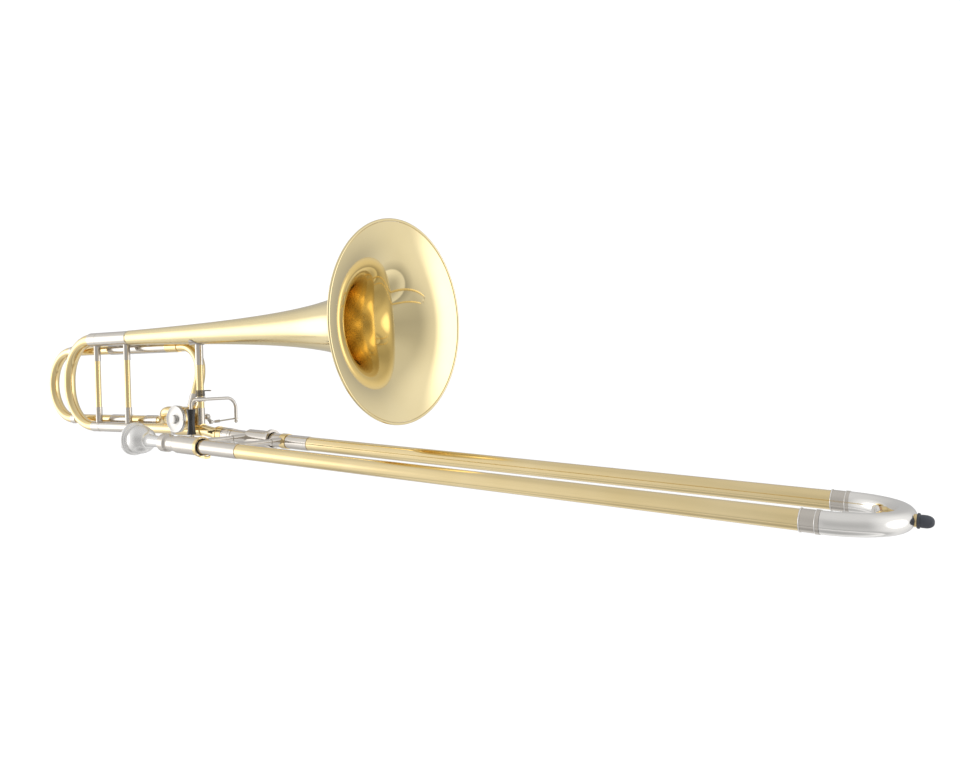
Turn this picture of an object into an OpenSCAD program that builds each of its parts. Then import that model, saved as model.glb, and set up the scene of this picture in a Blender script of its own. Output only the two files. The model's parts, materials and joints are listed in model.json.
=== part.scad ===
// Tenor trombone in B flat and F: hand slide in first position, rotary valve on an open F loop.
// +X runs along the slide towards its bow, +Z is up, and the origin is on the axis of the slide's
// bell-side tube, in the middle of the left hand's grip. The bell section is pitched by bell_pitch.

/* [Hand slide] */
// Distance between the axes of the two slide tubes
slide_width = 98; // [90:1:106]
// Outside diameter of the outer slide tubes
slide_tube_d = 15.4; // [15:0.1:16]
// Where the brass outer tubes end and the bow's ferrules begin
slide_tube_end = 673.5; // [600:0.5:700]
// Where the nickel hand sleeve on the mouthpiece's side of the outer slide ends
sleeve_end = 105; // [90:1:120]
// Outside diameter of the bow at the slide's end
slide_bow_d = 16.4; // [16:0.1:18]
// Length of the rubber end bumper
bumper_len = 11; // [8:0.5:14]

/* [Bell] */
// Outside diameter of the bell's rim
bell_d = 216; // [200:1:230]
// Length of the bell from the rim to its stem's end
bell_len = 464; // [440:1:500]
// Diameter of the bell's stem at its small end
bell_stem_d = 19.8; // [19.4:0.1:21]
// How fast the bell flares: larger is a tighter throat
flare_power = 0.76; // [0.65:0.01:0.85]
// Distance of the bell's axis above the slide's axis
bell_height = 126.8; // [124:0.2:132]
// Pitch of the bell section against the slide, degrees
bell_pitch = 2.7; // [1.5:0.1:3.5]
// Diameter of the wire rolled into the rim
rim_wire_d = 3; // [2:0.2:4]

/* [Main tuning slide] */
// Distance of the lower main tube's axis above the slide's axis, in the bell section
main_height = 6.6; // [6:0.2:7]
// Radius of the tuning bow's two corners
tuning_corner_r = 57; // [38:1:58]
// Where the outer legs begin, which is where the closed tuning slide stops
outer_leg_start = -286; // [-287:0.5:-285]

/* [F attachment] */
// Distance of the F tubing behind the bell section's plane
f_offset = 16; // [15.5:0.5:18]
// Height of the upper F leg
f_upper_h = 112.8; // [111:0.2:114]
// Height of the lower F leg
f_lower_h = 15.4; // [15:0.2:16]
// Outside diameter of the F tubing
f_tube_d = 13; // [12.6:0.1:13.2]
// Radius of the F elbow above the valve
f_elbow_r = 30; // [26:1:34]

/* [Valve and lever] */
// Outside diameter of the rotor's casing
casing_d = 29; // [28:0.5:30]
// Height of the rotor's axis
valve_h = 21; // [20:0.2:22]
// Throw of the rotor's stop arm
stop_arm_len = 11; // [10:0.5:12]

/* [Mouthpiece] */
// Outside diameter of the mouthpiece's rim
mouthpiece_d = 37.8; // [36:0.2:40]
// Inside diameter of the mouthpiece's rim
cup_d = 25.6; // [24:0.2:27]

/* [Hidden] */

$fn = 96;

// Finishes
brass = [0.86, 0.74, 0.44];
nickel = [0.78, 0.76, 0.72];
silver = [0.88, 0.88, 0.87];
cork_brown = [0.62, 0.43, 0.26];
felt_red = [0.45, 0.12, 0.12];
black = [0.06, 0.06, 0.07];

// Fits: fixed pieces of one assembly, turning or sliding pairs
fixed_gap = 0.05;
running_gap = 0.07;
seam_turn = 0.1;
over = 1;

// Slide
near_y = -slide_width;
bow_y = -slide_width / 2;
tube_r = slide_tube_d / 2;
tube_wall = 0.35;
tube_bore_r = tube_r - tube_wall;
stocking_r = tube_bore_r - running_gap;
inner_tube_r = tube_bore_r - 0.3;
inner_tube_wall = 0.4;
stocking_len = 110;
sleeve_r = tube_r + 0.45;
far_sleeve_end = sleeve_end + 6;
slide_start = 22;
barrel_r = 9.9;
barrel_bore_r = 9.1;
near_barrel = [7, 46.5];
far_barrel = [12, 51];
barrel_wall_len = 3;
barrel_lip_r = 12;
barrel_lip_len = 4;
felt_len = 6;
lock_ring = [42.8, 47.2];
lock_ring_r = 11;
stud_x = lock_ring[1] + 2.9;
stud_r = 1.2;
ferrule_len = 11;
ferrule_ring_len = 2.7;
ferrule_r = tube_r + 0.45;
ferrule_ring_r = tube_r + 0.9;
bow_x = slide_tube_end + ferrule_len + ferrule_ring_len;
bow_r = slide_bow_d / 2;
bow_wall = 1.1;
bow_straight = 9.4;
bow_bend_r = (slide_width - bow_straight) / 2;
bow_tip_x = bow_x + bow_bend_r + bow_r;
brace_lift = 1;
brace_rod_r = 3.3;
brace_socket_r = 4;
inner_brace_x = 12;
outer_brace_x = 71;
collar_r = sleeve_r + 0.8;
collar_start = 68.5;
collar_len = 9;

// Bell
rim_r = bell_d / 2;
rim_wire_r = rim_wire_d / 2;
bell_wall = 0.8;
bell_end_x = outer_leg_start + 68;
bell_rim_x = bell_end_x + bell_len;
flare_rim_r = rim_r - rim_wire_d - fixed_gap;
stem_r = bell_stem_d / 2;
flare_start = bell_len / (pow(flare_rim_r / stem_r, 1 / flare_power) - 1);
flare_steps = 44;
flare_spread = 2.3;

// Legs of the bell section
leg_r = 9.5;
leg_wall = 0.9;
lower_leg_r = 6.9;
lower_leg_wall = 0.7;
lower_leg_end = -195;
main_tube_r = 6.5;
tube_wall_thin = 0.6;
bow_leg_x = outer_leg_start - 18;
inner_leg_len = 62;
bow_upper_r = 8.2;
bow_lower_r = 6.5;
bow_gap = 0.3;
tuning_straight = bell_height - main_height - 2 * tuning_corner_r;

// Braces of the bell section
tuning_brace_x = -292.5;
leg_brace_x = -225.5;
rod_r = 3.8;
rear_socket_r = 4.4;
grip_x = -77;
grip_socket_r = 4.9;
grip_rod_r = 4.4;
socket_len = 20;
socket_insert = 6;

// F attachment
f_r = f_tube_d / 2;
f_wall = 0.6;
f_sleeve_r = f_r + 0.7;
f_bow_r = (f_upper_h - f_lower_h) / 2;
f_bow_x = -378.5;
f_ferrule_len = 10.5;
f_sleeve_start = -283;
f_leg_gap = 0.3;
f_inner_end = f_sleeve_start + 46;
f_inner_r = f_sleeve_r - 1.2 - running_gap;
f_upper_sleeve_end = -158.5;
f_collar_len = 23;
f_lower_sleeve_end = -235;
f_coupling = [-206, -180];
f_down_x = -96;
f_elbow_x = f_down_x - f_elbow_r;
f_slant = 18;
f_slant_r = 60;
f_slant_len = 16;
f_lower_bend_x = -178;
f_lower_bend_end = -138;
f_port_h = 29;
spacer_r = 2.4;
upper_spacer_xs = [-258, -193];
lower_spacer_xs = [-218, -185];

// Valve
valve_x = -97;
casing_r = casing_d / 2;
casing_front = -20;
casing_back = 8;
flange_r = 16.5;
flange_len = 3.5;
chamber_r = casing_r - 2.5;
rotor_r = chamber_r - running_gap;
port_r = 6.1;
port_body_r = 7.8;
port_left = -121;
port_right = -73;
f_port_left = -118;
cap_r = 17;
cap_len = 3.8;
cap_dish = 1.6;
knob_r = 5.2;
knob_lift = 2.8;
plate_len = 2.5;
spindle_r = 2.5;
arm_y = 23;
arm_turn = 35;
arm_t = 3;
arm_pin_r = 1.4;
lug_reach = 8;
cork_r = 2;
cork_turn = 40;

// Thumb lever: turns about the grip brace's rod
lever_x = -68;
lever_h = 45;
roller_y = -22;
ball_y = 48;
lever_bend = 5;
lever_far_bend = 14;
lever_rod_r = 2;
lever_pin_r = 1.5;
hub_r = 6;
hub_low = 42;
hub_high = 48;
ball_r = 2.3;
ball_h = 14.6;
link_h = 18.2;
link_end_y = 31.5;
link_end_r = 2;
link_end_h = valve_h - stop_arm_len * sin(arm_turn);
link_end_x = valve_x + stop_arm_len * cos(arm_turn);

// Receiver, tenon and lock nut on the bell-side tube
neckpipe_r = 6.6;
ring_start = -46.6;
ring_r = 9.1;
tenon_start = -44;
nut_start = -32;
nut_end = -20.2;
nut_r = 8.8;
tenon_r = 7.4;
receiver_start = -20;
shank_r = 6.25;
shank_end_r = 5.75;
shank_start = -22;
shank_end = 4;

// ---------- shared shapes ----------

// A solid rod along X
module rod_x(x0, x1, r) {
    translate([x0, 0, 0]) rotate([0, 90, 0]) cylinder(h = x1 - x0, r = r);
}

// A pipe along X
module pipe_x(x0, x1, r_out, r_in) {
    difference() {
        rod_x(x0, x1, r_out);
        rod_x(x0 - over, x1 + over, r_in);
    }
}

// A cone along X
module cone_x(x0, x1, r0, r1) {
    translate([x0, 0, 0]) rotate([0, 90, 0]) cylinder(h = x1 - x0, r1 = r0, r2 = r1);
}

// A rod along Y
module rod_y(y0, y1, r) {
    translate([0, y0, 0]) rotate([-90, 0, 0]) cylinder(h = y1 - y0, r = r);
}

// A rod along Z
module rod_z(z0, z1, r) {
    translate([0, 0, z0]) cylinder(h = z1 - z0, r = r);
}

// An outline given as [radius, x] points, spun about the X axis
module spin_x(points) {
    rotate([0, 90, 0]) rotate_extrude() polygon(points);
}

// A bent pipe in the XY plane about the Z axis, from the angle a0 over the given angle
module bent_pipe(bend_r, r_out, r_in, a0, angle) {
    rotate([0, 0, a0]) rotate_extrude(angle = angle) translate([bend_r, 0]) difference() {
        circle(r = r_out);
        if (r_in > 0) circle(r = r_in);
    }
}

// An S-shaped pipe that starts along +X and steps sideways by step in +Y over the length run
module s_pipe(run, step, r_out, r_in) {
    turn = 2 * atan(step / run);
    bend_r = run / (2 * sin(turn));
    translate([0, bend_r, 0]) bent_pipe(bend_r, r_out, r_in, -90 + seam_turn, turn - seam_turn);
    translate([run, step - bend_r, 0]) bent_pipe(bend_r, r_out, r_in, 90 + seam_turn, turn - seam_turn);
}

// Everything of the bell section is drawn level and pitched about the origin
module in_bell_frame() {
    rotate([0, -bell_pitch, 0]) children();
}

module at_bell_axis() {
    translate([0, 0, bell_height]) children();
}

module at_main_tube() {
    translate([0, 0, main_height]) children();
}

module at_f_upper() {
    translate([0, f_offset, f_upper_h]) children();
}

module at_f_lower() {
    translate([0, f_offset, f_lower_h]) children();
}

module at_valve() {
    translate([valve_x, 0, valve_h]) children();
}

module at_near_tube() {
    translate([0, near_y, 0]) children();
}

// ---------- bell ----------

// Outside radius of the bell at the distance d behind the rim
function flare_at(d) = flare_rim_r * pow(flare_start / (d + flare_start), flare_power);
function flare_slope(d) = -flare_power * flare_at(d) / (d + flare_start);
function flare_step(i) = bell_len * pow(i / flare_steps, flare_spread);
// A point of the wall, set in from the outside by t square to it
function flare_point(d, t) =
    let (s = flare_slope(d), n = sqrt(1 + s * s))
    [flare_at(d) - t / n, bell_rim_x - rim_wire_r - bell_wall / 2 - d - t * s / n];

module bell_flare() {
    outside = [for (i = [0 : flare_steps]) flare_point(flare_step(i), 0)];
    inside = [for (i = [0 : flare_steps]) flare_point(flare_step(flare_steps - i), bell_wall)];
    color(brass) in_bell_frame() at_bell_axis() intersection() {
        spin_x(concat(outside, inside));
        rod_x(bell_end_x, bell_rim_x, rim_r);
    }
}

module bell_rim_wire() {
    color(brass) in_bell_frame() at_bell_axis() translate([bell_rim_x - rim_wire_r, 0, 0])
        rotate([0, 90, 0]) bent_pipe(rim_r - rim_wire_r, rim_wire_r, 0, 0, 360);
}

// ---------- legs and braces of the bell section ----------

module upper_outer_leg() {
    color(nickel) in_bell_frame() at_bell_axis()
        pipe_x(outer_leg_start, bell_end_x, leg_r, leg_r - leg_wall);
}

module lower_outer_leg() {
    color(nickel) in_bell_frame() at_main_tube()
        pipe_x(outer_leg_start, lower_leg_end, lower_leg_r, lower_leg_r - lower_leg_wall);
}

module main_tube() {
    color(brass) in_bell_frame() at_main_tube()
        pipe_x(lower_leg_end, port_left, main_tube_r, main_tube_r - tube_wall_thin);
}

// Everything that the bell section's brace sockets are saddled onto
module leg_space() {
    at_bell_axis() rod_x(outer_leg_start - over, bell_end_x, leg_r + fixed_gap);
    at_bell_axis() rod_x(bell_end_x - over, bell_end_x + 20, stem_r + 0.35);
    at_main_tube() rod_x(outer_leg_start - over, lower_leg_end, lower_leg_r + fixed_gap);
}

// One socket that stands on a tube's axis at z0 and holds a rod at its far end z1
module socket_up(z0, z1, r, rod) {
    difference() {
        rod_z(z0, z1, r);
        rod_z(z1 - socket_insert, z1 + over, rod + fixed_gap);
    }
}

module socket_down(z0, z1, r, rod) {
    difference() {
        rod_z(z0, z1, r);
        rod_z(z0 - over, z0 + socket_insert, rod + fixed_gap);
    }
}

rear_low_z = main_height + lower_leg_r + socket_len;
rear_high_z = bell_height - leg_r - socket_len;

module rear_brace(x) {
    translate([x, 0, 0]) rod_z(rear_low_z - socket_insert, rear_high_z + socket_insert, rod_r);
}

module rear_sockets(x) {
    translate([x, 0, 0]) {
        socket_up(main_height, rear_low_z, rear_socket_r, rod_r);
        socket_down(rear_high_z, bell_height, rear_socket_r, rod_r);
    }
}

module leg_brace() {
    color(brass) in_bell_frame() rear_brace(leg_brace_x);
}

module leg_brace_sockets() {
    color(nickel) in_bell_frame() difference() {
        rear_sockets(leg_brace_x);
        leg_space();
    }
}

// The grip brace stands on the neckpipe and carries the thumb lever
grip_low_z = 34;
grip_high_z = 88;
stem_at_grip_r = flare_at(bell_rim_x - rim_wire_r - grip_x);
saddle_t = 1.1;

module grip_brace() {
    color(brass) in_bell_frame() translate([grip_x, 0, 0])
        rod_z(grip_low_z - socket_insert, grip_high_z + socket_insert, grip_rod_r);
}

module grip_brace_sockets() {
    color(nickel) in_bell_frame() difference() {
        translate([grip_x, 0, 0]) {
            socket_up(main_height, grip_low_z, grip_socket_r, grip_rod_r);
            socket_down(grip_high_z, bell_height - stem_at_grip_r, grip_socket_r, grip_rod_r);
        }
        at_main_tube() rod_x(port_left, grip_x + 20, port_body_r + fixed_gap);
        at_bell_axis() rod_x(grip_x - 20, grip_x + 20, stem_at_grip_r + saddle_t + fixed_gap);
        at_valve() rod_y(casing_front - over, casing_back + plate_len + 2, casing_r + fixed_gap);
    }
}

// A thin diamond plate, curved round the stem, that spreads the grip brace's load
module stem_saddle() {
    color(nickel) in_bell_frame() intersection() {
        at_bell_axis() difference() {
            rod_x(grip_x - 18, grip_x + 14, stem_at_grip_r + saddle_t);
            cone_x(grip_x - 40, grip_x + 40, flare_at(bell_rim_x - rim_wire_r - grip_x + 40) + 0.15,
                   flare_at(bell_rim_x - rim_wire_r - grip_x - 40) + 0.15);
        }
        translate([grip_x - 4, 0, bell_height - stem_at_grip_r - 2]) rotate([0, 0, 45])
            cube([19, 19, 14], center = true);
    }
}

// ---------- main tuning slide ----------

module tuning_bow() {
    color(brass) in_bell_frame() {
        translate([bow_leg_x, 0, bell_height - tuning_corner_r]) rotate([90, 0, 0])
            bent_pipe(tuning_corner_r, bow_upper_r, bow_upper_r - tube_wall_thin, 90, 90);
        translate([bow_leg_x, 0, main_height + tuning_corner_r]) rotate([90, 0, 0])
            bent_pipe(tuning_corner_r, bow_lower_r, bow_lower_r - tube_wall_thin, 180, 90);
        translate([bow_leg_x - tuning_corner_r, 0, main_height + tuning_corner_r]) difference() {
            cylinder(h = tuning_straight, r1 = bow_lower_r, r2 = bow_upper_r);
            cylinder(h = tuning_straight, r1 = bow_lower_r - tube_wall_thin,
                     r2 = bow_upper_r - tube_wall_thin);
        }
    }
}

upper_inner_r = leg_r - leg_wall - running_gap;
lower_inner_r = lower_leg_r - lower_leg_wall - running_gap;

module tuning_bow_ferrules() {
    x1 = outer_leg_start - bow_gap;
    color(nickel) in_bell_frame() {
        at_bell_axis() pipe_x(bow_leg_x, x1, leg_r, upper_inner_r + fixed_gap);
        at_main_tube() pipe_x(bow_leg_x, x1, lower_leg_r + 0.2, lower_inner_r + fixed_gap);
    }
}

// A second cross brace stands on the bow's two ferrules and moves with them
module tuning_brace() {
    color(brass) in_bell_frame() rear_brace(tuning_brace_x);
}

module tuning_brace_sockets() {
    color(nickel) in_bell_frame() difference() {
        rear_sockets(tuning_brace_x);
        at_bell_axis() rod_x(bow_leg_x - over, outer_leg_start, leg_r + fixed_gap);
        at_main_tube() rod_x(bow_leg_x - over, outer_leg_start, lower_leg_r + 0.2 + fixed_gap);
    }
}

module tuning_inner_legs() {
    x1 = outer_leg_start + inner_leg_len;
    color(nickel) in_bell_frame() {
        at_bell_axis() pipe_x(bow_leg_x, x1, upper_inner_r, upper_inner_r - tube_wall_thin);
        at_main_tube() pipe_x(bow_leg_x, x1, lower_inner_r, lower_inner_r - tube_wall_thin);
    }
}

// ---------- F attachment ----------

module f_tuning_bow() {
    color(brass) in_bell_frame() {
        translate([f_bow_x, f_offset, (f_upper_h + f_lower_h) / 2]) rotate([90, 0, 0])
            bent_pipe(f_bow_r, f_r, f_r - f_wall, 90, 180);
    }
}

module f_bow_ferrules() {
    color(nickel) in_bell_frame() for (z = [f_upper_h, f_lower_h]) translate([0, f_offset, z])
        pipe_x(f_bow_x, f_bow_x + f_ferrule_len, f_sleeve_r, f_r + fixed_gap);
}

// Brass as far as the outer legs, then thinner inside them
module f_inner_legs() {
    x1 = f_sleeve_start - f_leg_gap;
    color(brass) in_bell_frame() for (z = [f_upper_h, f_lower_h]) translate([0, f_offset, z])
        difference() {
            union() {
                rod_x(f_bow_x, x1, f_r);
                rod_x(x1 - over, f_inner_end, f_inner_r);
            }
            rod_x(f_bow_x - over, f_inner_end + over, f_inner_r - f_wall);
        }
}

module f_upper_outer_leg() {
    color(nickel) in_bell_frame() at_f_upper()
        pipe_x(f_sleeve_start, f_upper_sleeve_end, f_sleeve_r, f_inner_r + running_gap);
}

module f_lower_outer_leg() {
    color(nickel) in_bell_frame() at_f_lower()
        pipe_x(f_sleeve_start, f_lower_sleeve_end, f_sleeve_r, f_inner_r + running_gap);
}

// Local +X runs straight down from the elbow's end, and local +Y runs towards the front
module at_elbow_end() {
    translate([f_down_x, f_offset, f_upper_h - f_elbow_r]) rotate([0, 90, 0]) rotate([180, 0, 0]) children();
}

// Local +X runs down the slanted last stretch into the valve's top
module at_slant() {
    at_elbow_end() translate([f_slant_r * sin(f_slant), f_slant_r * (1 - cos(f_slant)), 0])
        rotate([0, 0, f_slant]) children();
}

// From the upper leg over the elbow, then slanting forward to the valve's top port
module f_elbow() {
    color(brass) in_bell_frame() {
        at_f_upper() {
            pipe_x(f_upper_sleeve_end, f_elbow_x, f_r, f_r - f_wall);
            pipe_x(f_upper_sleeve_end, f_upper_sleeve_end + f_collar_len, f_sleeve_r, f_r - 0.1);
        }
        translate([f_elbow_x, f_offset, f_upper_h - f_elbow_r]) rotate([90, 0, 0])
            bent_pipe(f_elbow_r, f_r, f_r - f_wall, 0, 90);
        at_elbow_end() translate([0, f_slant_r, 0])
            bent_pipe(f_slant_r, f_r, f_r - f_wall, -90 + seam_turn, f_slant - seam_turn);
        at_slant() pipe_x(fixed_gap, f_slant_len, f_r, f_r - f_wall);
    }
}

// From the lower leg, stepping forward and up into the valve's side port
module f_lower_tube() {
    side = [-f_offset, f_port_h - f_lower_h];
    color(brass) in_bell_frame() {
        at_f_lower() {
            pipe_x(f_lower_sleeve_end, f_lower_bend_x, f_r, f_r - f_wall);
            translate([f_lower_bend_x, 0, 0]) rotate([atan2(side[1], side[0]), 0, 0])
                s_pipe(f_lower_bend_end - f_lower_bend_x, norm(side), f_r, f_r - f_wall);
        }
        translate([0, 0, f_port_h]) pipe_x(f_lower_bend_end + fixed_gap, f_port_left, f_r, f_r - f_wall);
    }
}

// Short posts that tie the F legs to the bell section's legs
module f_leg_spacers() {
    up = [f_offset, f_upper_h - bell_height];
    low = [f_offset, f_lower_h - main_height];
    color(nickel) in_bell_frame() difference() {
        union() {
            at_bell_axis() for (x = upper_spacer_xs) translate([x, 0, 0])
                rotate([atan2(up[1], up[0]), 0, 0]) rod_y(0, norm(up), spacer_r);
            at_main_tube() for (x = lower_spacer_xs) translate([x, 0, 0])
                rotate([atan2(low[1], low[0]), 0, 0]) rod_y(0, norm(low), spacer_r);
        }
        leg_space();
        at_bell_axis() rod_x(bell_end_x, bell_end_x + 60, stem_r + 1.6);
        at_main_tube() rod_x(lower_leg_end, port_left, main_tube_r + fixed_gap);
        at_f_upper() rod_x(f_sleeve_start, f_upper_sleeve_end, f_sleeve_r + fixed_gap);
        at_f_lower() rod_x(f_sleeve_start, f_lower_sleeve_end, f_sleeve_r + fixed_gap);
        at_f_lower() rod_x(f_lower_sleeve_end, f_lower_bend_x, f_r + fixed_gap);
        at_f_lower() rod_x(f_coupling[0], f_coupling[1], f_sleeve_r + fixed_gap);
    }
}

// ---------- rotary valve ----------

module valve_casing() {
    color(brass) in_bell_frame() difference() {
        union() {
            at_valve() rod_y(casing_front, casing_back, casing_r);
            at_valve() rod_y(casing_front, casing_front + flange_len, flange_r);
            at_main_tube() rod_x(port_left, port_right, port_body_r);
            at_slant() rod_x(f_slant_len + fixed_gap, 38, f_r);
            translate([0, 0, f_port_h]) rod_x(f_port_left + fixed_gap, valve_x, f_r);
        }
        at_valve() rod_y(casing_front - over, casing_back + over, chamber_r);
        at_main_tube() rod_x(port_left - over, port_right + over, port_r);
        at_slant() rod_x(f_slant_len - over, 40, f_r - f_wall);
        translate([0, 0, f_port_h]) rod_x(f_port_left - over, valve_x, f_r - f_wall);
    }
}

// Nickel rings over the joints between the valve's ports and the tubes
module valve_ferrules() {
    ring_len = 8;
    color(nickel) in_bell_frame() {
        at_main_tube() pipe_x(port_left - ring_len, port_left, lower_leg_r + 0.6, main_tube_r + fixed_gap);
        difference() {
            at_slant() pipe_x(f_slant_len - 1, f_slant_len + 14, f_r + 0.7, f_r + fixed_gap);
            at_valve() rod_y(casing_front, casing_back, casing_r + fixed_gap);
            at_valve() rod_y(casing_front, casing_front + flange_len, flange_r + fixed_gap);
        }
        at_f_lower() pipe_x(f_coupling[0], f_coupling[1], f_sleeve_r, f_r + fixed_gap);
    }
}

module valve_cap() {
    front = casing_front - cap_len;
    floor_y = front + cap_dish;
    color(nickel) in_bell_frame() at_valve() {
        difference() {
            rod_y(front, casing_front, cap_r);
            rod_y(front - over, floor_y, cap_r - 2.2);
            rod_y(casing_front - 1, casing_front + over, chamber_r);
        }
        rod_y(front - knob_lift, floor_y, knob_r);
    }
}

module valve_back_plate() {
    color(nickel) in_bell_frame() difference() {
        at_valve() {
            rod_y(casing_back, casing_back + plate_len, casing_r);
            rod_y(casing_back, casing_back + plate_len + 1.5, spindle_r + 2);
        }
        at_valve() rod_y(casing_back - over, casing_back + plate_len + 3, spindle_r + running_gap);
        at_slant() rod_x(f_slant_len - 2, f_slant_len + 24, f_r + 0.7 + fixed_gap);
    }
}

module stop_corks() {
    y0 = casing_back + plate_len;
    color(cork_brown) in_bell_frame() at_valve() for (turn = [45 - cork_turn, 135 + cork_turn])
        rotate([0, turn, 0]) translate([lug_reach - 1, 0, 0]) rod_y(y0, y0 + 6, cork_r);
}

module rotor_core() {
    scoop_r = port_r;
    color(brass) in_bell_frame() at_valve() difference() {
        rod_y(casing_front + 1, casing_back - 0.5, rotor_r);
        translate([0, -0.5, -rotor_r - 2]) rod_x(-rotor_r - over, rotor_r + over, scoop_r);
        translate([0, -0.5, rotor_r + 2]) rod_x(-rotor_r - over, rotor_r + over, scoop_r);
        rod_y(casing_front, casing_back, spindle_r + fixed_gap);
    }
}

module rotor_spindle() {
    lug_y = casing_back + plate_len + 2;
    color(nickel) in_bell_frame() at_valve() {
        rod_y(casing_front + 1, arm_y + arm_t + 1.5, spindle_r);
        rod_y(arm_y + arm_t + 0.1, arm_y + arm_t + 2.2, spindle_r + 1);
        rotate([0, 45, 0]) translate([lug_reach / 2, lug_y + 1.5, 0])
            cube([lug_reach, 3, 3.4], center = true);
    }
}

module stop_arm() {
    color(nickel) in_bell_frame() at_valve() difference() {
        union() {
            rod_y(arm_y, arm_y + arm_t, spindle_r + 1.6);
            rotate([0, arm_turn, 0]) {
                translate([stop_arm_len / 2, arm_y + arm_t / 2, 0])
                    cube([stop_arm_len, arm_t - 0.8, 4], center = true);
                translate([stop_arm_len, 0, 0]) {
                    rod_y(arm_y, arm_y + arm_t, 2.6);
                    rod_y(arm_y + arm_t / 2, link_end_y - link_end_r - 0.6, arm_pin_r);
                }
            }
        }
        rod_y(arm_y - over, arm_y + arm_t + over, spindle_r + fixed_gap);
    }
}

// ---------- thumb lever ----------

module lever_hub() {
    color(nickel) in_bell_frame() translate([grip_x, 0, 0]) difference() {
        rod_z(hub_low, hub_high, hub_r);
        rod_z(hub_low - over, hub_high + over, grip_rod_r + running_gap);
    }
}

// From the roller's pin up, over along Y past the hub, and down to the ball
module lever_rod() {
    color(nickel) in_bell_frame() difference() {
        union() {
            translate([lever_x, 0, 0]) {
                translate([0, roller_y, 0]) {
                    rod_z(1, lever_h - lever_bend, lever_rod_r);
                    rod_z(-0.5, 1, lever_rod_r + 1.2);
                }
                translate([0, roller_y + lever_bend, lever_h - lever_bend]) rotate([0, 90, 0])
                    rotate([0, 0, 180]) bent_pipe(lever_bend, lever_rod_r, 0, 0, 90);
                translate([0, 0, lever_h])
                    rod_y(roller_y + lever_bend, ball_y - lever_far_bend, lever_rod_r);
                translate([0, ball_y - lever_far_bend, lever_h - lever_far_bend]) rotate([0, 90, 0])
                    bent_pipe(lever_far_bend, lever_rod_r, 0, 90, 90);
                translate([0, ball_y, 0]) {
                    rod_z(link_h + 1.8, lever_h - lever_far_bend, lever_rod_r);
                    rod_z(ball_h, link_h + 1.8, lever_pin_r);
                    translate([0, 0, ball_h]) sphere(r = ball_r);
                }
            }
            translate([0, 0, lever_h]) rod_x(grip_x, lever_x, lever_rod_r + 0.6);
        }
        translate([grip_x, 0, 0]) rod_z(hub_low - over, hub_high + over, hub_r + fixed_gap);
    }
}

module thumb_roller() {
    low = 2.6;
    high = 33.6;
    end_r = 5.5;
    waist_r = 4.1;
    steps = 12;
    mid = (low + high) / 2;
    side = [for (i = [0 : steps]) let (z = low + (high - low) * i / steps, t = (z - mid) / (high - mid))
        [waist_r + (end_r - waist_r) * t * t, z]];
    bore = lever_rod_r + running_gap;
    color(black) in_bell_frame() translate([lever_x, roller_y, 0])
        rotate_extrude() polygon(concat(side, [[bore, high], [bore, low]]));
}

// Runs from the lever's pin to a ball beside the stop arm's pin
module lever_link() {
    run = [link_end_x - lever_x, link_end_y - ball_y];
    reach = norm(run);
    drop = link_end_h - link_h;
    color(nickel) in_bell_frame() translate([lever_x, ball_y, link_h]) difference() {
        union() {
            rod_z(-1, 1, 2.8);
            rotate([0, 0, atan2(run[1], run[0])]) {
                rotate([0, -atan(drop / reach), 0]) {
                    rod_x(0, norm([reach, drop]), 1);
                    rod_x(norm([reach, drop]) - 5.5, norm([reach, drop]), 1.9);
                }
                translate([reach, 0, drop]) sphere(r = link_end_r);
            }
        }
        rod_z(-3, 3, lever_pin_r + running_gap);
    }
}

// Coils round the grip brace's rod above the hub, with one leg
module lever_spring() {
    wire_r = 0.7;
    coil_r = grip_rod_r + fixed_gap + wire_r;
    pitch = 1.6;
    coils = 5;
    color(nickel) in_bell_frame() translate([grip_x, 0, hub_high + 1.2]) {
        for (i = [0 : coils - 1]) translate([0, 0, i * pitch]) bent_pipe(coil_r, wire_r, 0, 0, 360);
        translate([0, coil_r + 2 * wire_r + fixed_gap, (coils - 1) * pitch]) rod_x(-3, 12, wire_r);
    }
}

// ---------- neck, tenon and lock nut ----------

// The neckpipe runs from the valve's port down to the axis of the slide
module neckpipe() {
    start = [port_right * cos(bell_pitch) - main_height * sin(bell_pitch),
             port_right * sin(bell_pitch) + main_height * cos(bell_pitch)];
    finish = [tenon_start - 1.6, 0];
    slope = atan2(finish[1] - start[1], finish[0] - start[0]);
    color(brass) difference() {
        translate([start[0], 0, start[1]]) rotate([0, -slope, 0])
            pipe_x(-3, norm(finish - start), neckpipe_r, neckpipe_r - tube_wall_thin);
        in_bell_frame() at_main_tube() rod_x(port_left, port_right + fixed_gap, 2 * port_body_r);
    }
}

// The tenon turns in this ring when the lock nut is loose
module neckpipe_ring() {
    color(brass) difference() {
        union() {
            rod_x(ring_start, nut_start - 0.3, ring_r);
            rod_x(ring_start + 2, ring_start + 5, ring_r + 0.6);
        }
        rod_x(ring_start - over, nut_start + over, neckpipe_r + 0.75);
        rod_x(tenon_start - 0.3, nut_start + over, tenon_r + running_gap);
    }
}

module bell_lock_nut() {
    notch_count = 24;
    color(nickel) difference() {
        rod_x(nut_start, nut_end, nut_r);
        rod_x(nut_start - over, nut_end + over, tenon_r + running_gap);
        for (i = [0 : notch_count - 1]) rotate([i * 360 / notch_count, 0, 0])
            translate([nut_start + 2, -0.45, nut_r - 0.4]) cube([nut_end - nut_start - 4, 0.9, 2]);
    }
}

module slide_tenon() {
    bore = 6.2;
    color(nickel) difference() {
        union() {
            rod_x(tenon_start, nut_end, tenon_r);
            rod_x(nut_end + 0.2, nut_end + 4, tenon_r + 1.2);
            rod_x(nut_end, nut_end + 1, tenon_r);
            cone_x(nut_end + 4, far_barrel[0], tenon_r + 0.6, tenon_r - 0.2);
        }
        rod_x(tenon_start - over, far_barrel[0] + over, bore);
    }
}

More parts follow.
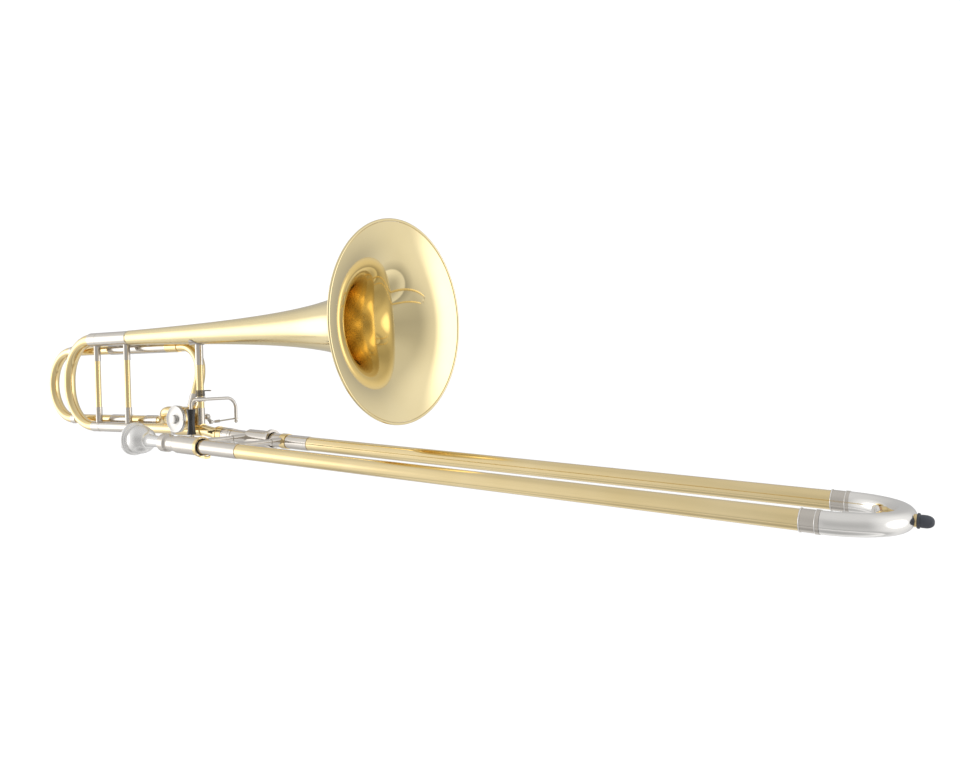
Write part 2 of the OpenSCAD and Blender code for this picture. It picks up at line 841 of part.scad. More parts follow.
// ---------- inner slide ----------

// A cork barrel over the given span, which the outer slide's sleeve enters in first position
module cork_barrel(span, lip) {
    difference() {
        union() {
            rod_x(span[0], span[1], barrel_r);
            if (lip) rod_x(span[1] - barrel_lip_len, span[1], barrel_lip_r);
        }
        rod_x(span[0] + barrel_wall_len, span[1] + over, barrel_bore_r);
        rod_x(span[0] - over, span[0] + barrel_wall_len + over, inner_tube_r + fixed_gap);
    }
}

module cork_barrels() {
    color(nickel) {
        at_near_tube() cork_barrel(near_barrel, false);
        cork_barrel(far_barrel, true);
    }
}

// The two inner parts are placed at the back of each barrel: [y, x]
barrel_backs = [[near_y, near_barrel[0]], [0, far_barrel[0]]];

module slide_felts() {
    color(felt_red) for (at = barrel_backs) translate([at[1] + barrel_wall_len, at[0], 0])
        pipe_x(0, felt_len, barrel_bore_r - fixed_gap, inner_tube_r + fixed_gap);
}

module inner_slide_tubes() {
    x1 = slide_tube_end;
    color(nickel) for (at = barrel_backs) translate([0, at[0], 0]) difference() {
        union() {
            rod_x(at[1], x1, inner_tube_r);
            rod_x(x1 - stocking_len, x1 - 2, stocking_r);
        }
        rod_x(at[1] - over, x1 + over, inner_tube_r - inner_tube_wall);
    }
}

// A cross brace between the two slide tubes: its rod, and the sockets with the tubes cut away
module cross_rod(x, end_r) {
    inset = end_r + 12;
    translate([x, 0, brace_lift]) rod_y(near_y + inset, -inset, brace_rod_r);
}

module cross_sockets(x, end_r, length) {
    difference() {
        translate([x, 0, brace_lift]) {
            rod_y(near_y, near_y + end_r + length, brace_socket_r);
            rod_y(-end_r - length, 0, brace_socket_r);
        }
        translate([x, 0, brace_lift])
            rod_y(near_y + end_r + 12 - fixed_gap, -end_r - 12 + fixed_gap, brace_rod_r + fixed_gap);
        for (y = [near_y, 0]) translate([0, y, 0]) rod_x(x - 20, x + 20, end_r + fixed_gap);
    }
}

module inner_hand_brace() {
    color(nickel) cross_rod(inner_brace_x, barrel_r);
}

module inner_brace_sockets() {
    color(nickel) cross_sockets(inner_brace_x, barrel_r, 18);
}

// Ring, tube and shoulder up to the near cork barrel
module mouthpiece_receiver() {
    mouth_r = 10.2;
    pipe_r = 8.3;
    x0 = receiver_start;
    x1 = near_barrel[0];
    outline = [
        [shank_r + running_gap, x0], [mouth_r - 0.8, x0], [mouth_r, x0 + 0.8], [mouth_r, x0 + 9.5],
        [mouth_r - 0.8, x0 + 11], [pipe_r + 0.3, x0 + 12.4], [pipe_r, x0 + 14], [pipe_r + 0.3, x1 - 4],
        [barrel_r - 0.6, x1 - 1.2], [barrel_r - 0.6, x1], [shank_end_r + running_gap, x1],
        [shank_end_r + running_gap, shank_end]
    ];
    color(nickel) at_near_tube() spin_x(outline);
}

// ---------- outer slide ----------

module outer_slide_tubes() {
    color(brass) for (y = [near_y, 0]) translate([0, y, 0]) pipe_x(slide_start, bow_x, tube_r, tube_bore_r);
}

// Nickel sleeves under the hand, with the stud that the slide lock catches
module slide_sleeves() {
    stud_turn = -20;
    color(nickel) {
        pipe_x(slide_start, far_sleeve_end, sleeve_r, tube_r + fixed_gap);
        at_near_tube() {
            pipe_x(slide_start, sleeve_end, sleeve_r, tube_r + fixed_gap);
            rotate([stud_turn, 0, 0]) translate([stud_x, 0, 0]) difference() {
                rod_y(0, lock_ring_r, stud_r);
                rod_x(-5, 5, sleeve_r - 0.1);
            }
        }
    }
}

module far_sleeve_collar() {
    color(brass) pipe_x(collar_start, collar_start + collar_len, collar_r, sleeve_r + fixed_gap);
}

module outer_hand_brace() {
    color(nickel) cross_rod(outer_brace_x, collar_r);
}

module outer_brace_sockets() {
    color(nickel) cross_sockets(outer_brace_x, collar_r, 14);
}

module bow_ferrules() {
    x1 = slide_tube_end + ferrule_len;
    color(nickel) for (y = [near_y, 0]) translate([0, y, 0]) difference() {
        union() {
            rod_x(slide_tube_end, x1, ferrule_r);
            rod_x(x1, bow_x, ferrule_ring_r);
            rod_x(slide_tube_end, slide_tube_end + 1.2, ferrule_r + 0.3);
        }
        rod_x(slide_tube_end - over, bow_x + over, tube_r + fixed_gap);
    }
}

// Two quarter bends with a short straight between them
module bow_shape(r_out, r_in) {
    for (side = [-1, 1]) translate([bow_x, bow_y + side * bow_straight / 2, 0])
        bent_pipe(bow_bend_r, r_out, r_in, side < 0 ? -90 : 0, 90);
    translate([bow_x + bow_bend_r, bow_y, 0]) difference() {
        rod_y(-bow_straight / 2, bow_straight / 2, r_out);
        if (r_in > 0) rod_y(-bow_straight, bow_straight, r_in);
    }
}

module slide_bow() {
    color(silver) bow_shape(bow_r, bow_r - bow_wall);
}

// The space of the bow, which the fittings on it are saddled onto
module bow_space() {
    bow_shape(bow_r + fixed_gap, 0);
}

collar_end_x = bow_tip_x + 0.6;

module bumper_collar() {
    color(nickel) difference() {
        translate([0, bow_y, 0]) {
            rod_x(bow_tip_x - 2.8, collar_end_x, 4.6);
        }
        bow_space();
    }
}

module end_bumper() {
    r = 4.7;
    flange_end = collar_end_x + 2;
    nose = 3;
    x1 = collar_end_x + bumper_len;
    steps = 8;
    nose_arc = [for (i = [0 : steps]) let (a = 90 * i / steps)
        [r - nose + nose * cos(a), x1 - nose + nose * sin(a)]];
    flange = [[0, collar_end_x], [r + 0.8, collar_end_x], [r + 0.8, flange_end], [r, flange_end]];
    color(black) translate([0, bow_y, 0]) spin_x(concat(flange, nose_arc, [[0, x1]]));
}

// ---------- water key ----------

// The nipple is on the inside of the bow and the key swings inside the bow
nipple_turn = 38;
nipple_reach = 4;
nipple_r = 3.2;
key_pivot = [bow_x + bow_bend_r - bow_r - 5.5, bow_y - 8];
key_pin_r = 1.1;
cork_len = 2.4;
nipple_base = bow_bend_r - bow_r;
nipple_tip = nipple_base - nipple_reach;

module at_nipple() {
    translate([bow_x, bow_y + bow_straight / 2, 0]) rotate([0, 0, nipple_turn]) children();
}

module water_key_mount() {
    color(brass) difference() {
        union() {
            at_nipple() rod_x(nipple_tip, nipple_base + 3, nipple_r);
            for (z = [-4.6, 3.1]) translate([key_pivot[0] - 2.4, key_pivot[1] - 2.4, z]) cube([14, 4.8, 1.5]);
            translate([key_pivot[0], key_pivot[1], 0]) rod_z(-5.4, 5.4, key_pin_r);
        }
        at_nipple() rod_x(nipple_tip - over, nipple_base + 4, nipple_r - 1.2);
        bow_space();
    }
}

module water_key_lever() {
    plate_r = 4.2;
    cup_x = nipple_tip - cork_len;
    cup_mid = cup_x - 1;
    cup = [bow_x + cup_mid * cos(nipple_turn), bow_y + bow_straight / 2 + cup_mid * sin(nipple_turn)];
    run = cup - key_pivot;
    tab_len = 24;
    color(silver) difference() {
        union() {
            translate([key_pivot[0], key_pivot[1], 0]) {
                rod_z(-2.8, 2.8, 2.6);
                rotate([0, 0, atan2(run[1], run[0])]) translate([0, -1.2, -1.6])
                    cube([norm(run) - 1, 2.4, 3.2]);
                rotate([0, 0, 188]) translate([0, -1.1, -2.6]) cube([tab_len, 2.2, 5.2]);
                rotate([0, 0, 188]) translate([tab_len, 0, 0]) rod_z(-2.6, 2.6, 1.8);
            }
            at_nipple() rod_x(cup_x - 2, cup_x, plate_r);
        }
        translate([key_pivot[0], key_pivot[1], 0]) rod_z(-5, 5, key_pin_r + running_gap);
    }
}

module water_key_cork() {
    color(cork_brown) at_nipple() rod_x(nipple_tip - cork_len, nipple_tip - 0.1, nipple_r + 0.4);
}

// ---------- slide lock and mouthpiece ----------

// Turns on the near barrel; its hook passes in front of the sleeve's stud
module slide_lock_ring() {
    hook_turn = -95;
    hook_len = 7.5;
    catch_len = 2;
    hook_r = lock_ring_r + 1.2;
    color(brass) at_near_tube() {
        pipe_x(lock_ring[0], lock_ring[1], lock_ring_r, barrel_r + running_gap);
        rotate([hook_turn, 0, 0]) difference() {
            union() {
                translate([lock_ring[1] - 1, 0, 0]) intersection() {
                    rod_x(0, hook_len + 1, hook_r);
                    translate([0, 0, -3]) cube([hook_len + 1, 20, 6]);
                }
                translate([lock_ring[1] + hook_len - catch_len, 0, 0]) intersection() {
                    rod_x(0, catch_len, hook_r);
                    translate([0, 0, -3]) cube([catch_len, 20, 8]);
                }
            }
            rod_x(lock_ring[0], lock_ring[1] + 20, barrel_r + 0.1);
        }
    }
}

// Rim, cup and shank: the outside first, then the cup, throat and backbore
module mouthpiece() {
    r = mouthpiece_d / 2;
    c = cup_d / 2;
    rim_x = -76;
    throat_r = 3.4;
    steps = 10;
    rim_arc = [for (i = [0 : steps]) let (a = 180 * i / steps)
        [(r + c) / 2 - (r - c) / 2 * cos(a), rim_x + 3 - 3 * sin(a)]];
    outside = [
        [r, rim_x + 5], [r - 0.9, rim_x + 8], [r - 1.3, rim_x + 12], [r - 3.2, rim_x + 17],
        [r - 6.6, rim_x + 22], [9.2, rim_x + 27], [7.9, rim_x + 31], [7.2, rim_x + 35],
        [6.6, rim_x + 39], [6.4, rim_x + 44], [shank_r, shank_start], [shank_end_r, shank_end]
    ];
    inside = [
        [shank_end_r - 0.9, shank_end], [throat_r + 0.3, rim_x + 36], [throat_r, rim_x + 30],
        [throat_r + 0.8, rim_x + 26], [c - 6, rim_x + 20], [c - 2.6, rim_x + 14], [c - 0.8, rim_x + 8]
    ];
    color(silver) at_near_tube() spin_x(concat(rim_arc, outside, inside));
}

// ---------- nodes ----------

bell_flare();
bell_rim_wire();
upper_outer_leg();
lower_outer_leg();
main_tube();
leg_brace();
leg_brace_sockets();
grip_brace();
grip_brace_sockets();
stem_saddle();
f_upper_outer_leg();
f_elbow();
f_lower_outer_leg();
f_lower_tube();
f_leg_spacers();
valve_casing();
valve_ferrules();
valve_cap();
valve_back_plate();
stop_corks();
neckpipe();
neckpipe_ring();
slide_tenon();
cork_barrels();
slide_felts();
inner_hand_brace();
inner_brace_sockets();
mouthpiece_receiver();
inner_slide_tubes();
lever_spring();
bell_lock_nut();
tuning_bow();
tuning_bow_ferrules();
tuning_inner_legs();
tuning_brace();
tuning_brace_sockets();
f_tuning_bow();
f_bow_ferrules();
f_inner_legs();
rotor_core();
rotor_spindle();
stop_arm();
lever_hub();
lever_rod();
thumb_roller();
lever_link();
outer_slide_tubes();
slide_sleeves();
far_sleeve_collar();
outer_hand_brace();
outer_brace_sockets();
bow_ferrules();
slide_bow();
bumper_collar();
end_bumper();
water_key_mount();
water_key_lever();
water_key_cork();
slide_lock_ring();
mouthpiece();
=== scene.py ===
"""A tenor trombone with an F loop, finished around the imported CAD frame."""
import json
import math

import bmesh
import bpy
from mathutils import Matrix, Vector


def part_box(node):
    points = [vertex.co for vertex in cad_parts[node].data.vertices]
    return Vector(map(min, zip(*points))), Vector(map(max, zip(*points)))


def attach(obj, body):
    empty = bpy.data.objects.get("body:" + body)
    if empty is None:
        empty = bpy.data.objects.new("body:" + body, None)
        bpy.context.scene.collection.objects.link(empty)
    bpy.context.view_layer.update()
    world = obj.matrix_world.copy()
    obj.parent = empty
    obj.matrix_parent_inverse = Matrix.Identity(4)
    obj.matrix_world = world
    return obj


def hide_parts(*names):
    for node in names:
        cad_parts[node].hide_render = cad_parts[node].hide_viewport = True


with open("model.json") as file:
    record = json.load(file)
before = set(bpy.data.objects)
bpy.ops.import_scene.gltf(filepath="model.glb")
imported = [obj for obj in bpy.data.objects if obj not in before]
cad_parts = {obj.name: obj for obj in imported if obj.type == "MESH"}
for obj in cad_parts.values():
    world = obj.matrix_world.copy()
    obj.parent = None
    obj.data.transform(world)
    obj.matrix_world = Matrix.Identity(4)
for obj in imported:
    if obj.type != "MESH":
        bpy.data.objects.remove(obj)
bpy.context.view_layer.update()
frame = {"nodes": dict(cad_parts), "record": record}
nodes = frame["nodes"]
scene = bpy.context.scene
MM = 0.001

# The bell section is pitched against the slide. BELL_FRAME turns its own axes into the shared frame.
pitch_axis = Vector(next(m for m in frame["record"]["mounts"] if m["name"] == "bell_stand")["axis"])
PITCH = math.atan2(pitch_axis.z, pitch_axis.x)
BELL_FRAME = Matrix.Rotation(-PITCH, 4, "Y")

# Driving sizes, in millimetres
NEAR_Y, MID_Y, FAR_Y = -98.0, -49.0, 0.0  # the slide's near tube, its middle and its far tube
BELL_Z = 126.8  # the bell's axis above the slide's, in the bell section's own axes
RIM_X, STEM_X = 246.0, -218.0  # where the bell ends at its rim and at its stem
MOUTH_R, STEM_R = 104.95, 9.9
FLARE_POWER = 0.76
WALL = 0.8
RIM_WIRE_R = 1.5
RIM_RING_R = 106.5  # from the bell's axis to the middle of its rim wire


# ---------- node helpers ----------

class Nodes:
    """A new material's node tree, with short ways to add and join nodes."""

    def __init__(self, name):
        self.material = bpy.data.materials.new(name)
        self.material.use_nodes = True
        self.tree = self.material.node_tree
        self.shader = self.tree.nodes["Principled BSDF"]

    def add(self, kind, **inputs):
        node = self.tree.nodes.new(kind)
        for key, value in inputs.items():
            name = key.replace("_", " ")
            if name in node.inputs:
                node.inputs[name].default_value = value
            else:
                setattr(node, key, value)
        return node

    def link(self, source, target):
        self.tree.links.new(source, target)

    def set(self, **values):
        for key, value in values.items():
            self.shader.inputs[key.replace("_", " ")].default_value = value

    def place(self, scale=(1, 1, 1)):
        """Object coordinates in metres, stretched."""
        coords = self.add("ShaderNodeTexCoord")
        mapping = self.add("ShaderNodeMapping")
        mapping.inputs["Scale"].default_value = scale
        self.link(coords.outputs["Object"], mapping.inputs["Vector"])
        return mapping.outputs["Vector"]

    def noise(self, vector, scale, detail=3.0, roughness=0.5, distortion=0.0):
        node = self.add("ShaderNodeTexNoise", Scale=scale, Detail=detail, Roughness=roughness,
                        Distortion=distortion)
        self.link(vector, node.inputs["Vector"])
        return node.outputs["Fac"]

    def ramp(self, value, stops):
        node = self.add("ShaderNodeValToRGB")
        elements = node.color_ramp.elements
        for i, (place, colour) in enumerate(stops):
            element = elements[i] if i < 2 else elements.new(place)
            element.position = place
            element.color = (*colour, 1)
        self.link(value, node.inputs["Fac"])
        return node.outputs["Color"]

    def span(self, value, low, high):
        node = self.add("ShaderNodeMapRange")
        node.inputs["To Min"].default_value = low
        node.inputs["To Max"].default_value = high
        self.link(value, node.inputs["Value"])
        return node.outputs["Result"]

    def combine(self, operation, a, b):
        node = self.add("ShaderNodeMath", operation=operation)
        self.link(a, node.inputs[0])
        self.link(b, node.inputs[1])
        return node.outputs["Value"]

    def bump(self, height, strength, distance):
        node = self.add("ShaderNodeBump", Strength=strength, Distance=distance)
        self.link(height, node.inputs["Height"])
        self.link(node.outputs["Normal"], self.shader.inputs["Normal"])


STREAK_DEPTH = 0.00004  # metres
GRAIN_DEPTH = 0.0001


def metal(name, light, dark, rough, stretch, streak, bump, coat=0.0, dull=None):
    """Polished metal: slow colour drift, fine polishing streaks along one way, and faint smears.

    dull is where along X, in metres, the metal starts to get rougher, where that ends, and by how much.
    """
    n = Nodes(name)
    n.set(Metallic=1.0, Coat_Weight=coat, Coat_Roughness=0.05)
    drift = n.noise(n.place(), 14.0, 3.0)
    n.link(n.ramp(drift, [(0.3, dark), (0.7, light)]), n.shader.inputs["Base Color"])
    lines = n.noise(n.place(stretch), streak, 4.0, 0.65)
    smears = n.noise(n.place(), 55.0, 4.0, 0.6, 0.8)
    finish = n.span(n.combine("MULTIPLY", lines, smears), rough * 0.7, rough * 1.6)
    if dull:
        start, end, extra = dull
        parts = n.add("ShaderNodeSeparateXYZ")
        n.link(n.place(), parts.inputs["Vector"])
        fade = n.add("ShaderNodeMapRange", interpolation_type="SMOOTHSTEP", From_Min=start, From_Max=end,
                     To_Min=0.0, To_Max=extra)
        n.link(parts.outputs["X"], fade.inputs["Value"])
        finish = n.combine("ADD", finish, fade.outputs["Result"])
    n.link(finish, n.shader.inputs["Roughness"])
    n.bump(lines, bump, STREAK_DEPTH)
    return n.material


ALONG = (0.02, 1, 1)  # streaks drawn out along the tubes
EVEN = (1, 1, 1)
brass_tube = metal("brass_tube", (0.90, 0.73, 0.41), (0.85, 0.67, 0.34), 0.16, ALONG, 900, 0.14, 0.3)
brass_bell = metal("brass_bell", (0.87, 0.73, 0.42), (0.84, 0.695, 0.38), 0.065, ALONG, 700, 0.012, 0.3,
                   (0.2, 0.08, 0.2))
brass_round = metal("brass_fittings", (0.86, 0.68, 0.36), (0.78, 0.60, 0.30), 0.15, EVEN, 400, 0.12, 0.2)
brass_bow = metal("brass_bows", (0.88, 0.70, 0.37), (0.83, 0.64, 0.31), 0.14, EVEN, 500, 0.10, 0.2)
nickel = metal("nickel_silver", (0.71, 0.665, 0.605), (0.63, 0.585, 0.525), 0.22, ALONG, 900, 0.2)
nickel_round = metal("nickel_fittings", (0.70, 0.66, 0.60), (0.60, 0.56, 0.51), 0.2, EVEN, 400, 0.15)
silver = metal("silver_plate", (0.94, 0.92, 0.89), (0.88, 0.86, 0.82), 0.14, EVEN, 300, 0.08)
satin = metal("satin_nickel", (0.62, 0.60, 0.57), (0.54, 0.52, 0.49), 0.3, EVEN, 700, 0.2)
frosted_silver = metal("frosted_silver", (0.90, 0.885, 0.86), (0.84, 0.825, 0.80), 0.3, EVEN, 500, 0.03)
steel = metal("spring_steel", (0.30, 0.28, 0.25), (0.20, 0.18, 0.16), 0.25, EVEN, 500, 0.2)


def moulded(name, colour, shade, rough, grain, bump, coat=0.0):
    """Plastic, rubber, cork or felt, with a fine grain."""
    n = Nodes(name)
    n.set(Coat_Weight=coat, Coat_Roughness=0.08)
    drift = n.noise(n.place(), 80.0, 4.0)
    n.link(n.ramp(drift, [(0.3, shade), (0.7, colour)]), n.shader.inputs["Base Color"])
    fine = n.noise(n.place(), grain, 4.0, 0.6)
    n.link(n.span(fine, rough * 0.8, rough * 1.25), n.shader.inputs["Roughness"])
    n.bump(fine, bump, GRAIN_DEPTH)
    return n.material


black_plastic = moulded("black_plastic", (0.012, 0.011, 0.011), (0.006, 0.006, 0.006), 0.25, 900, 0.1, 0.4)
black_rubber = moulded("black_rubber", (0.050, 0.055, 0.068), (0.034, 0.038, 0.048), 0.5, 2500, 0.5)
cork = moulded("cork", (0.55, 0.36, 0.20), (0.30, 0.17, 0.08), 0.85, 1600, 1.0)
felt = moulded("felt", (0.30, 0.05, 0.05), (0.20, 0.03, 0.03), 0.95, 4000, 1.0)

SLOT_MATERIAL = {"lacquered_brass": brass_tube, "nickel_silver": nickel, "silver_plate": silver,
                 "black_plastic": black_plastic, "black_rubber": black_rubber, "cork": cork, "felt": felt}
NODE_MATERIAL = {"lever_spring": steel, "valve_casing": brass_round, "neckpipe_ring": brass_round,
                 "far_sleeve_collar": brass_round, "slide_lock_ring": brass_round, "f_elbow": brass_bow,
                 "f_lower_tube": brass_bow, "rotor_core": brass_round, "water_key_mount": brass_round,
                 "bumper_collar": brass_round, "lever_rod": nickel_round, "lever_link": nickel_round,
                 "stop_arm": nickel_round, "rotor_spindle": nickel_round, "stem_saddle": nickel_round}

for part in frame["record"]["subparts"]:
    node = nodes[part["node"]]
    node.data.materials.clear()
    node.data.materials.append(NODE_MATERIAL.get(part["node"], SLOT_MATERIAL[part["material_slot"]]))


# ---------- smooth pieces that stand for the CAD's banded ones ----------

def skin(name, rings, close_ends, loop, material, body, stands_for):
    """A smooth mesh through rings of points, given as lists of equal length."""
    mesh = bmesh.new()
    rows = [[mesh.verts.new(p) for p in ring] for ring in rings]
    count = len(rows[0])
    last = len(rows) if loop else len(rows) - 1
    for i in range(last):
        a, b = rows[i], rows[(i + 1) % len(rows)]
        for j in range(count):
            k = (j + 1) % count
            mesh.faces.new((a[j], a[k], b[k], b[j])).smooth = True
    if close_ends:
        mesh.faces.new(rows[0])
        mesh.faces.new(list(reversed(rows[-1])))
    bmesh.ops.recalc_face_normals(mesh, faces=mesh.faces)
    data = bpy.data.meshes.new(name)
    mesh.to_mesh(data)
    mesh.free()
    data.materials.append(material)
    piece = bpy.data.objects.new(name, data)
    scene.collection.objects.link(piece)
    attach(piece, body)
    if stands_for:
        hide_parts(*stands_for)


def lathe(name, outline, place, material, body, stands_for=(), segments=160, ends=False):
    """An outline of (x, radius) in millimetres, spun about the X axis.

    The outline is a closed loop, or with ends set it is open and each end is closed with a face.
    """
    rings = []
    for x, r in outline:
        rings.append([place @ (Vector((x, r * math.cos(a), r * math.sin(a))) * MM)
                      for a in (2 * math.pi * j / segments for j in range(segments))])
    skin(name, rings, ends, not ends, material, body, stands_for)


def pipe(name, path, radii, place, material, body, stands_for=(), segments=64):
    """A round tube of changing radius along a path of points, in millimetres."""
    points = [Vector(p) for p in path]
    rings = []
    side = None
    for i, p in enumerate(points):
        way = (points[min(i + 1, len(points) - 1)] - points[max(i - 1, 0)]).normalized()
        if side is None:
            side = way.orthogonal().normalized()
        side = (side - way * side.dot(way)).normalized()
        up = way.cross(side)
        rings.append([place @ ((p + (side * math.cos(a) + up * math.sin(a)) * radii[i]) * MM)
                      for a in (2 * math.pi * j / segments for j in range(segments))])
    skin(name, rings, False, False, material, body, stands_for)


def arc(centre, u, v, r, start, end, steps):
    """Points of an arc about a centre, from the direction u towards v, degrees."""
    return [Vector(centre) + Vector(u) * r * math.cos(a) + Vector(v) * r * math.sin(a)
            for a in (math.radians(start + (end - start) * i / steps) for i in range(steps + 1))]


AT_BELL = BELL_FRAME @ Matrix.Translation((0, 0, BELL_Z * MM))
AT_NEAR_TUBE = Matrix.Translation((0, NEAR_Y * MM, 0))
AT_MIDDLE = Matrix.Translation((0, MID_Y * MM, 0))


def flare_radius(d):
    """The bell's outer radius at a distance d from its mouth."""
    scale = (RIM_X - STEM_X) / ((MOUTH_R / STEM_R) ** (1 / FLARE_POWER) - 1)
    return MOUTH_R * (scale / (d + scale)) ** FLARE_POWER


def build_bell():
    """The flare as one spun wall, with rings closer together towards the mouth, and the roll of its rim."""
    steps, crowding, segments, wire_points = 220, 2.3, 288, 20
    length = RIM_X - STEM_X - RIM_WIRE_R - WALL / 2
    outside, inside = [], []
    for i in range(steps + 1):
        d = length * (i / steps) ** crowding
        slope = (flare_radius(d + 0.01) - flare_radius(max(d - 0.01, 0))) / (0.02 if d > 0.01 else 0.01 + d)
        n = math.hypot(1, slope)
        x = RIM_X - RIM_WIRE_R - WALL / 2 - d
        outside.append((x, flare_radius(d)))
        inside.append((max(x - WALL * slope / n, STEM_X), flare_radius(d) - WALL / n))
    lathe("bell_flare_skin", outside + inside[::-1], AT_BELL, brass_bell, "bell_section",
          ("bell_flare",), segments)
    ring = [(RIM_X - RIM_WIRE_R + RIM_WIRE_R * math.cos(a), RIM_RING_R + RIM_WIRE_R * math.sin(a))
            for a in (2 * math.pi * i / wire_points for i in range(wire_points))]
    lathe("bell_rim_roll", ring, AT_BELL, brass_bell, "bell_section",
          ("bell_rim_wire",), segments)


def build_bows():
    """The main tuning bow, which narrows on its way down, the F bow and the slide's bow."""
    x, top, low, r = -304.0, BELL_Z, 6.6, 57.0
    wide_r, narrow_r = 8.3, 6.5
    left, up, down = (-1, 0, 0), (0, 0, 1), (0, 0, -1)
    path = arc((x, 0, top - r), up, left, r, 0, 90, 32)
    path += arc((x, 0, low + r), left, down, r, 0, 90, 32)
    radii = [wide_r - (wide_r - narrow_r) * i / (len(path) - 1) for i in range(len(path))]
    pipe("tuning_bow_skin", path, radii, BELL_FRAME, brass_bow, "tuning_slide",
         ("tuning_bow",))
    f_x, f_y, high, base = -378.5, 16, 112.8, 15.4
    path = arc((f_x, f_y, (high + base) / 2), up, left, (high - base) / 2, 0, 180, 64)
    pipe("f_bow_skin", path, [narrow_r] * len(path), BELL_FRAME, brass_bow, "f_tuning_slide",
         ("f_tuning_bow",))
    bow_x, bend, half_flat, slide_r = 687.2, 44.3, 4.7, 8.2
    right, far, near = (1, 0, 0), (0, 1, 0), (0, -1, 0)
    path = arc((bow_x, MID_Y - half_flat, 0), near, right, bend, 0, 90, 40)
    path += arc((bow_x, MID_Y + half_flat, 0), right, far, bend, 0, 90, 40)
    pipe("slide_bow_skin", path, [slide_r] * len(path), Matrix.Identity(4), silver, "hand_slide",
         ("slide_bow",), 96)


def build_bumper():
    """A flange, a neck and a domed rubber end."""
    start, neck, nose = 740.3, 742.3, 751.3
    flange_r, body_r = 5.5, 4.6
    outline = [(start, 0.2), (start, flange_r - 0.5), (start + 0.5, flange_r), (neck - 0.5, flange_r),
               (neck, flange_r - 0.5), (neck, body_r - 0.3), (neck + 1.2, body_r)]
    dome = nose - (neck + 3.2)
    outline += [(neck + 3.2 + dome * math.sin(a), body_r * math.cos(a) ** 0.8 + 0.02)
                for a in (math.pi / 2 * i / 18 for i in range(18))] + [(nose, 0.2)]
    lathe("end_bumper_skin", outline, AT_MIDDLE, black_rubber, "hand_slide",
          ("end_bumper",), 64, True)


def build_mouthpiece():
    """Rim, groove, round cup and tapered shank, with the cup and throat inside."""
    rim_x, rim_r, cup_r = -76.0, 18.9, 12.8
    mid, half = (rim_r + cup_r) / 2, (rim_r - cup_r) / 2
    roll = 3
    outline = [(rim_x + roll - roll * math.sin(a), mid - half * math.cos(a))
               for a in (math.pi * i / 24 for i in range(25))]
    outline += [(rim_x + 5.4, rim_r), (rim_x + 6.4, rim_r - 0.5), (rim_x + 6.9, rim_r - 1.6),
                (rim_x + 7.3, 16.2), (rim_x + 8.6, 15.7), (rim_x + 10.5, 15.9)]
    bulb_x, bulb_len, bulb_r, neck_r = rim_x + 13.0, 16.5, 16.4, 7.4
    outline += [(bulb_x + bulb_len * math.sin(a), neck_r + (bulb_r - neck_r) * math.cos(a) ** 1.1)
                for a in (math.pi / 2 * i / 24 for i in range(24))]
    outline += [(rim_x + 30, neck_r - 0.1), (rim_x + 36, 6.9), (rim_x + 44, 6.5), (-22, 6.25), (4, 5.75),
                (4, 4.85), (rim_x + 36, 3.7), (rim_x + 30, 3.4), (rim_x + 26, 4.2), (rim_x + 20, cup_r - 6),
                (rim_x + 14, cup_r - 2.6), (rim_x + 8, cup_r - 0.8)]
    lathe("mouthpiece_skin", outline, AT_NEAR_TUBE, frosted_silver, "mouthpiece",
          ("mouthpiece",), 96)


def build_valve_cap():
    """A flat disc with a rounded edge, and a knob in the middle."""
    outline = [(0, 0.2), (0, 16.8), (0.4, 17), (3.0, 17), (3.6, 16.7), (3.8, 16.1), (3.6, 15.6), (3.5, 6.0),
               (3.7, 5.3), (5.9, 5.2), (6.4, 5.0), (6.6, 4.5), (6.6, 0.2)]
    place = BELL_FRAME @ Matrix.Translation(Vector((-97, -20, 21)) * MM)
    place = place @ Matrix.Rotation(-math.pi / 2, 4, "Z")
    lathe("valve_cap_skin", outline, place, satin, "bell_section", ("valve_cap",), 96, True)


def build_beads():
    """Thin wires round the ends of the slide's ferrules, sunk a little into them."""
    wire, sunk, points = 0.35, 0.25, 8
    ferrule_low, ferrule_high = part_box("bow_ferrules")
    r = (ferrule_high.z - ferrule_low.z) / 2 / MM - sunk
    for side, y in (("near", NEAR_Y), ("far", FAR_Y)):
        for end, x in (("tube", 674.0), ("ring", 684.4)):
            outline = [(x + wire * math.cos(a), r + wire * math.sin(a))
                       for a in (2 * math.pi * i / points for i in range(points))]
            lathe(f"{side}_{end}_bead", outline, Matrix.Translation((0, y * MM, 0)), silver, "hand_slide")


build_bell()
build_bows()
build_bumper()
build_mouthpiece()
build_valve_cap()
build_beads()


# ---------- stage, lights and camera ----------

def paper():
    """White paper that glows a little, so the floor has no deep shadow."""
    n = Nodes("studio_paper")
    n.set(Roughness=0.95, Emission_Color=(1, 1, 1, 1), Emission_Strength=0.5)
    speck = n.noise(n.place(), 30.0, 2.0)
    shades = n.ramp(speck, [(0.3, (0.55, 0.55, 0.55)), (0.7, (0.57, 0.57, 0.57))])
    n.link(shades, n.shader.inputs["Base Color"])
    return n.material


